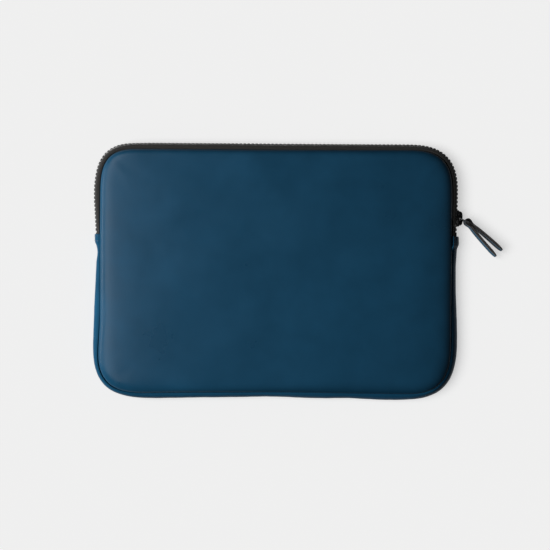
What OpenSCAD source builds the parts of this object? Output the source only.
// Padded laptop sleeve with a gusseted edge, a moulded-tooth zip that runs
// round the top half and a folded strap puller on a wire link.
//
// Frame: the sleeve lies on its back. +X is across its width, +Y is towards
// its zipped top edge and +Z is towards the front. The origin is the centre
// of the face it rests on. Left is -X and right is +X.

/* [Sleeve] */
// Overall width across the gusset
sleeve_w = 350; // [320:1:400]
// Overall height across the gusset
sleeve_h = 245; // [225:1:290]
// Overall thickness of the padded body
sleeve_t = 20; // [18:0.5:24]
// Corner radius at the outermost line of the edge
corner_r = 40; // [34:1:48]
// How far the panel seams sit inside the outermost line
seam_inset = 5.5; // [4:0.25:7]
// Height on the body at which the zip ends and the front folds open
fold_y = 34; // [20:1:44]

/* [Layers] */
// Thickness of the coated outer skin
skin_t = 0.9; // [0.6:0.1:1.2]
// Thickness of the foam padding
foam_t = 2; // [1.5:0.25:2.5]
// Thickness of the lining cloth
lining_t = 0.4; // [0.3:0.1:0.6]
// How far foam and lining stop short of the panel seam
seam_allowance = 3.5; // [3:0.25:4.5]

/* [Zip] */
// Distance from one tooth to the next on the same row
tooth_pitch = 3.8; // [3.4:0.1:4.2]
// Length of one tooth along the zip
tooth_len = 1.7; // [1.4:0.05:1.7]
// Width of the meshed chain
chain_w = 6; // [5.6:0.1:6.2]
// How far a tooth reaches past the middle of the chain
tooth_reach = 1.2; // [1:0.1:1.3]
// Tooth depth, inside to outside
tooth_depth = 2.6; // [2.2:0.1:2.8]
// Zip tape thickness
tape_t = 0.6; // [0.4:0.1:0.7]
// How far the middle of the chain sits inside the outermost line
chain_inset = 2.2; // [1.8:0.1:2.6]

/* [Slider and puller] */
// Height on the body of the slider's middle
slider_y = 51.4; // [48:0.2:56]
// Length of the slider
slider_len = 15.6; // [14:0.1:16]
// Height of the bridge over the slider's outer plate
bridge_h = 3.6; // [3.5:0.1:4.2]
// Wire radius of the link
wire_r = 0.75; // [0.6:0.05:0.8]
// Distance between the link's two bars
link_len = 7.4; // [7:0.1:8.5]
// Angle of the link at rest, from straight out
link_angle = -20; // [-45:0.5:-10]
// Angle of the strap at rest, from straight out
strap_angle = -44.5; // [-55:0.5:-30]
// Width of the strap
strap_w = 8; // [6:0.5:9]
// Thickness of one strap leg
strap_t = 2; // [1.2:0.1:2]
// How far the two legs lie together
strap_join = 6; // [5:0.5:16]
// Length of the strap from the link bar to its tips
strap_len = 43; // [36:1:48]
// Half the angle between the two strap legs
strap_splay = 4.8; // [3:0.1:6]

/* [Hidden] */
$fn = 64;
overlap = 0.01;                          // makes touching solids join
layer_gap = 0.05;                        // air between stacked layers
fold_gap = 0.4;                          // air across the fold line

panel_colour = "#1c4260";
trim_colour = "#1a3d59";                 // gusset, tabs and strap
foam_colour = "#3b3f45";
lining_colour = "#20242b";
binding_colour = "#15181c";
tape_colour = "#24262a";
tooth_colour = "#1b1c1f";
slider_colour = "#2b2d31";
wire_colour = "#8b8f94";

mid_z = sleeve_t / 2;
corner_x = sleeve_w / 2 - corner_r;      // corner arc centres
corner_y = sleeve_h / 2 - corner_r;
panel_r = corner_r - seam_inset;         // radii are measured from those centres
pad_r = panel_r - seam_allowance;
lower_end = fold_y - fold_gap / 2;       // where the lower front stops
upper_start = fold_y + fold_gap / 2;     // where the upper front starts

// ---- building blocks ----

// Profile (x = radius from the corner centre, y = height) swept along a straight
module along(x, y, angle, length)
    translate([x, y, 0]) rotate([0, 0, angle])
        translate([0, length, 0]) rotate([90, 0, 0]) linear_extrude(length) children();

// The same profile swept round a corner
module around(x, y, angle)
    translate([x, y, 0]) rotate([0, 0, angle]) rotate_extrude(angle = 90) children();

// Profile along the lower run: left side, bottom edge, right side
module lower_run(top = fold_y) {
    along(-corner_x, top, 180, top + corner_y) children();
    around(-corner_x, -corner_y, 180) children();
    along(-corner_x, -corner_y, 270, 2 * corner_x) children();
    around(corner_x, -corner_y, 270) children();
    along(corner_x, -corner_y, 0, top + corner_y) children();
}

// Profile along the upper run: right side, top edge, left side
module upper_run(start = fold_y) {
    along(corner_x, start, 0, corner_y - start) children();
    around(corner_x, corner_y, 0) children();
    along(corner_x, corner_y, 90, 2 * corner_x) children();
    around(-corner_x, corner_y, 90) children();
    along(-corner_x, corner_y, 180, corner_y - start) children();
}

// Flat sheet with the sleeve's outline, its edge at radius r of the corners
module sheet(r, z, thickness)
    translate([0, 0, z]) linear_extrude(thickness) {
        square([2 * corner_x, 2 * (corner_y + r)], center = true);
        square([2 * (corner_x + r), 2 * corner_y], center = true);
        for (side_x = [-1, 1], side_y = [-1, 1])
            translate([side_x * corner_x, side_y * corner_y]) circle(r);
    }

// The part of a solid between y = start and y = start + length
module slice(start, length) intersection() {
    children();
    translate([-sleeve_w / 2, start, -1]) cube([sleeve_w, length, sleeve_t + 2]);
}
module below_fold() slice(-sleeve_h, sleeve_h + lower_end) children();
module above_fold() slice(upper_start, sleeve_h) children();

// Mirror a back piece to the front
module front_copy() translate([0, 0, sleeve_t]) mirror([0, 0, 1]) children();

// ---- padded panels: skin, foam and lining, from the outside in ----

module skin_sheet() sheet(panel_r, 0, skin_t);
module foam_sheet() sheet(pad_r, skin_t + layer_gap, foam_t);
module lining_sheet() sheet(pad_r, skin_t + foam_t + 2 * layer_gap, lining_t);

module back_panel() color(panel_colour) skin_sheet();
module back_foam() color(foam_colour) foam_sheet();
module back_lining() color(lining_colour) lining_sheet();

module front_panel_lower() color(panel_colour) below_fold() front_copy() skin_sheet();
module front_foam_lower() color(foam_colour) below_fold() front_copy() foam_sheet();
module front_lining_lower() color(lining_colour) below_fold() front_copy() lining_sheet();

module front_panel_upper() color(panel_colour) above_fold() front_copy() skin_sheet();
module front_foam_upper() color(foam_colour) above_fold() front_copy() foam_sheet();
module front_lining_upper() color(lining_colour) above_fold() front_copy() lining_sheet();

// ---- gusset: an arc in section, from seam to seam, bulging to the outermost line ----

seam_rise = mid_z - skin_t - 0.5;        // seam's distance from mid thickness
bulge_r = (seam_rise * seam_rise + seam_inset * seam_inset) / (2 * seam_inset);
bulge_x = corner_r - bulge_r;            // arc centre in the profile
bulge_angle = atan2(seam_rise, panel_r - bulge_x);

gusset_lining_gap = 0.1;
lining_trim_angle = 5;                   // lining stops short of the strip's edges
tab_len = 9;
tab_t = 0.8;
tab_gap = 0.1;                           // air between gusset and tab
tab_angle = 42;                          // half the tab's arc in section

function arc_points(r, from, to, steps = 16) =
    [for (i = [0:steps])
        let (angle = from + (to - from) * i / steps)
        [bulge_x + r * cos(angle), mid_z + r * sin(angle)]];

// Curved strip in section, its thickness inwards from radius r
module band(r, thickness, half_angle)
    polygon(concat(arc_points(r, -half_angle, half_angle),
                   arc_points(r - thickness, half_angle, -half_angle)));

module gusset_strip() color(trim_colour) lower_run() band(bulge_r, skin_t, bulge_angle);
module gusset_lining() color(lining_colour) lower_run()
    band(bulge_r - skin_t - gusset_lining_gap, lining_t, bulge_angle - lining_trim_angle);

// Folded end of the gusset, stitched down over the end of the zip
module tab_band() band(bulge_r + tab_gap + tab_t, tab_t, tab_angle);
module gusset_tab_left() color(trim_colour)
    along(-corner_x, fold_y, 180, tab_len) tab_band();
module gusset_tab_right() color(trim_colour)
    along(corner_x, fold_y - tab_len, 0, tab_len) tab_band();

// ---- bound seams, just inside the skin and beside the padding ----

binding_size = [2.2, 2.3];
binding_pad_gap = 0.4;
binding_skin_gap = 0.3;

module binding()
    translate([pad_r + binding_pad_gap, skin_t + binding_skin_gap]) square(binding_size);
module back_seam_binding() color(binding_colour) {
    lower_run() binding();
    upper_run() binding();
}
module front_seam_binding_lower() color(binding_colour)
    front_copy() lower_run(lower_end) binding();
module front_seam_binding_upper() color(binding_colour)
    front_copy() upper_run(upper_start) binding();

// ---- zip tapes ----

chain_r = corner_r - chain_inset;
tape_edge = mid_z + 1.9;                 // tape's edge beside the chain
tape_turn = mid_z + 6.4;                 // where the tape turns to the seam
seam_z = mid_z + seam_rise;

// Tape in section: upright beside the chain, then turned in to the panel seam
module tape_section()
    polygon([[chain_r - tape_t / 2, tape_edge],
             [chain_r + tape_t / 2, tape_edge],
             [chain_r + tape_t / 2, tape_turn + 0.25],
             [panel_r + 0.6, seam_z + 0.1],
             [panel_r + 0.4, seam_z - 0.5],
             [chain_r - tape_t / 2, tape_turn - 0.1]]);
module zip_tape_front() color(tape_colour) upper_run(upper_start) tape_section();
module zip_tape_back() color(tape_colour) front_copy() upper_run(upper_start) tape_section();

// ---- zip teeth ----

zip_side = corner_y - fold_y;            // straight length up one side
arc_len = chain_r * PI / 2;
zip_len = 2 * zip_side + 2 * arc_len + 2 * corner_x;
first_tooth = 2.6;                       // from the zip's end to its first tooth
tooth_count = floor((zip_len - 2 * first_tooth - tooth_pitch / 2) / tooth_pitch);
head_inset = 0.3;                        // tooth head's step in from each face

// Parting of the rows; heights are relative to the slider's middle
part_max = 2.0;                          // how far the rows part at the nose
part_from = 1;                           // parting starts here, going down
part_run = 6.5;
close_from = -9;                         // rows draw together again below here
close_run = 6;
close_share = 0.6;                       // share of the parting that is lost

function smooth(u) = let (v = min(1, max(0, u))) v * v * (3 - 2 * v);

// How far a row has left the middle of the chain, at height y on the right side
function parting(y) = let (height = y - slider_y)
    part_max * smooth((part_from - height) / part_run)
        * (1 - close_share * smooth((close_from - height) / close_run));

// Angle round a corner for a distance along the chain line
function chain_angle(distance) = distance / chain_r * 180 / PI;

// Place children on the chain line, a distance along it from the right-hand end
module on_chain(distance) {
    side_end = zip_side;
    right_arc_end = side_end + arc_len;
    top_end = right_arc_end + 2 * corner_x;
    left_arc_end = top_end + arc_len;
    if (distance < side_end)
        translate([corner_x, fold_y + distance, 0]) children();
    else if (distance < right_arc_end)
        translate([corner_x, corner_y, 0])
            rotate([0, 0, chain_angle(distance - side_end)]) children();
    else if (distance < top_end)
        translate([corner_x - (distance - right_arc_end), corner_y, 0])
            rotate([0, 0, 90]) children();
    else if (distance < left_arc_end)
        translate([-corner_x, corner_y, 0])
            rotate([0, 0, 90 + chain_angle(distance - top_end)]) children();
    else
        translate([-corner_x, corner_y - (distance - left_arc_end), 0])
            rotate([0, 0, 180]) children();
}

// One tooth of the front row: a block with a narrower head past the middle
module tooth(lift) {
    inner_r = chain_r - tooth_depth / 2;
    translate([inner_r, -tooth_len / 2, mid_z + lift + tooth_reach])
        cube([tooth_depth, tooth_len, chain_w / 2 - tooth_reach]);
    translate([inner_r + head_inset, -tooth_len / 2, mid_z + lift - tooth_reach])
        cube([tooth_depth - 2 * head_inset, tooth_len, 2 * tooth_reach + overlap]);
}

function lift_at(distance) = distance < zip_side ? parting(fold_y + distance) : 0;
module teeth_row(shift)
    for (i = [0:tooth_count - 1])
        let (distance = first_tooth + shift + i * tooth_pitch)
            on_chain(distance) tooth(lift_at(distance));
module zip_teeth_front() color(tooth_colour) teeth_row(0);
module zip_teeth_back() color(tooth_colour) front_copy() teeth_row(tooth_pitch / 2);

// ---- zip stops: moulded, gripping the back tape's edge ----

stop_size = [2.2, 1, 4.8];
stop_drop = 3;                           // stop's back end below mid thickness
stop_offset = 0.25;                      // stop's distance above the fold line

module zip_stop() translate([corner_x, fold_y + stop_offset, 0])
    translate([chain_r - stop_size[0] / 2, 0, mid_z - stop_drop]) cube(stop_size);
module zip_stop_right() color(tooth_colour) zip_stop();
module zip_stop_left() color(tooth_colour) mirror([1, 0, 0]) zip_stop();

// ---- slider: two plates joined by the divider post, lips that hold the rows
// in and a bridge for the link. Local x is outwards, y towards the meshed end ----

slider_half = slider_len / 2;
tail_w = chain_w / 2 + 0.25;             // inside half width at the meshed end
nose_w = tail_w + part_max;              // inside half width where the rows part
nose_bend = -4.6;                        // the sides taper between these places
tail_bend = 2.2;
nose_chamfer = 1.6;
tail_chamfer = 1;
lip_w = 0.8;
outer_lip_h = 0.7;
inner_lip_h = 0.8;
plate_in = chain_r - tooth_depth / 2 - 0.5;   // facing sides of the two plates
plate_out = chain_r + tooth_depth / 2 + 0.4;
plate_t = 1.3;
post_half = 0.65;                        // divider post
post_taper = -6;                         // where its point starts
post_inset = 0.2;                        // from the slider's nose end

bridge_w = 3.2;                          // across the slider
bridge_round = 2;
bridge_flat = 4.8;                       // half length of the bridge's flat top
bridge_wall = 1.3;                       // between slot and bridge top
slot_r = 1.1;                            // slot for the link's inner bar
slot_half = 0.7;                         // half the slot's straight length
bar_x = (bridge_h - bridge_wall) / 2 + 0.05;  // link's inner bar, above the outer plate
bar_y = -0.8;

// Close a half outline with its mirror image across the x axis
function with_mirror(half) =
    concat(half, [for (i = [len(half) - 1:-1:0]) [half[i][0], -half[i][1]]]);

// Outline of a plate (x = along, y = across), covering the channel and its lips
module slider_outline() {
    nose = nose_w + lip_w;
    tail = tail_w + lip_w;
    polygon(with_mirror([
        [-slider_half, -nose + nose_chamfer], [-slider_half + nose_chamfer, -nose],
        [nose_bend, -nose], [tail_bend, -tail],
        [slider_half - tail_chamfer, -tail], [slider_half, -tail + tail_chamfer]]));
}
// Outline of the space between the lips, run out 1 past both ends
module channel_outline() polygon(with_mirror([
    [-slider_half - 1, -nose_w], [nose_bend, -nose_w],
    [tail_bend, -tail_w], [slider_half + 1, -tail_w]]));
module lip_outline() difference() {
    slider_outline();
    channel_outline();
}
module post_outline() polygon([
    [-slider_half + post_inset, -post_half], [post_taper, -post_half], [nose_bend, 0],
    [post_taper, post_half], [-slider_half + post_inset, post_half]]);

// Stand an outline up as a plate from radius r
module plate(r, thickness)
    translate([r, 0, mid_z]) rotate([90, 0, 90]) linear_extrude(thickness) children();

// Bridge in side view, x from the outer plate's face
module bridge_outline() {
    base_half = bridge_flat + bridge_round;
    shoulder = bridge_h - bridge_round;
    difference() {
        union() {
            translate([-overlap, -base_half]) square([shoulder + overlap, 2 * base_half]);
            translate([shoulder - overlap, -bridge_flat])
                square([bridge_round + overlap, 2 * bridge_flat]);
            for (side = [-1, 1])
                translate([shoulder, side * bridge_flat]) circle(bridge_round);
        }
        translate([bar_x - slot_r, bar_y - slot_half]) square([2 * slot_r, 2 * slot_half]);
        for (side = [-1, 1])
            translate([bar_x, bar_y + side * slot_half]) circle(slot_r);
    }
}

module slider_body() color(slider_colour) translate([corner_x, slider_y, 0]) {
    plate(plate_out, plate_t) slider_outline();
    plate(plate_in - plate_t, plate_t) slider_outline();
    plate(plate_out - outer_lip_h, outer_lip_h + overlap) lip_outline();
    plate(plate_in - overlap, inner_lip_h + overlap) lip_outline();
    plate(plate_in - overlap, plate_out - plate_in + 2 * overlap) post_outline();
    translate([plate_out + plate_t, 0, mid_z - bridge_w / 2])
        linear_extrude(bridge_w) bridge_outline();
}

// ---- link and strap; their hinge axes are bars parallel to z ----

inner_bar = [corner_x + plate_out + plate_t + bar_x, slider_y + bar_y];
outer_bar = inner_bar + link_len * [cos(link_angle), sin(link_angle)];
link_side_z = strap_w / 2 + 0.6 + wire_r;     // link's side wires, clear of the strap
eye_r = wire_r + 0.15;
leg_gap = 0.05;                          // half the air between the joined legs
neck_overlap = 0.3;                      // neck's reach into the splayed leg

module pull_link() color(wire_colour)
    translate([inner_bar[0], inner_bar[1], mid_z]) rotate([0, 0, link_angle]) {
        for (x = [0, link_len])
            translate([x, 0, -link_side_z]) cylinder(r = wire_r, h = 2 * link_side_z);
        for (z = [-link_side_z, link_side_z]) {
            translate([0, 0, z]) rotate([0, 90, 0]) cylinder(r = wire_r, h = link_len);
            for (x = [0, link_len]) translate([x, 0, z]) sphere(r = wire_r);
        }
    }

// Neck beside the other leg, then the splayed leg; side is 1 or -1
module strap_leg(side) {
    translate([0, min(side * leg_gap, side * (leg_gap + strap_t))])
        square([strap_join + neck_overlap, strap_t]);
    translate([strap_join, side * (leg_gap + strap_t / 2)]) rotate(side * strap_splay)
        translate([0, -strap_t / 2]) square([strap_len - strap_join, strap_t]);
}

// One strip folded round the outer bar
module pull_strap() color(trim_colour)
    translate([outer_bar[0], outer_bar[1], mid_z - strap_w / 2]) rotate([0, 0, strap_angle])
        difference() {
            linear_extrude(strap_w) difference() {
                union() {
                    circle(eye_r + strap_t);
                    strap_leg(1);
                    strap_leg(-1);
                }
                translate([eye_r + strap_t, -leg_gap]) square([strap_join, 2 * leg_gap]);
            }
            translate([0, 0, -1]) cylinder(r = eye_r, h = strap_w + 2);
        }

back_panel();
back_foam();
back_lining();
front_panel_lower();
front_foam_lower();
front_lining_lower();
front_panel_upper();
front_foam_upper();
front_lining_upper();
gusset_strip();
gusset_lining();
back_seam_binding();
front_seam_binding_lower();
front_seam_binding_upper();
gusset_tab_left();
gusset_tab_right();
zip_tape_front();
zip_tape_back();
zip_teeth_front();
zip_teeth_back();
zip_stop_left();
zip_stop_right();
slider_body();
pull_link();
pull_strap();
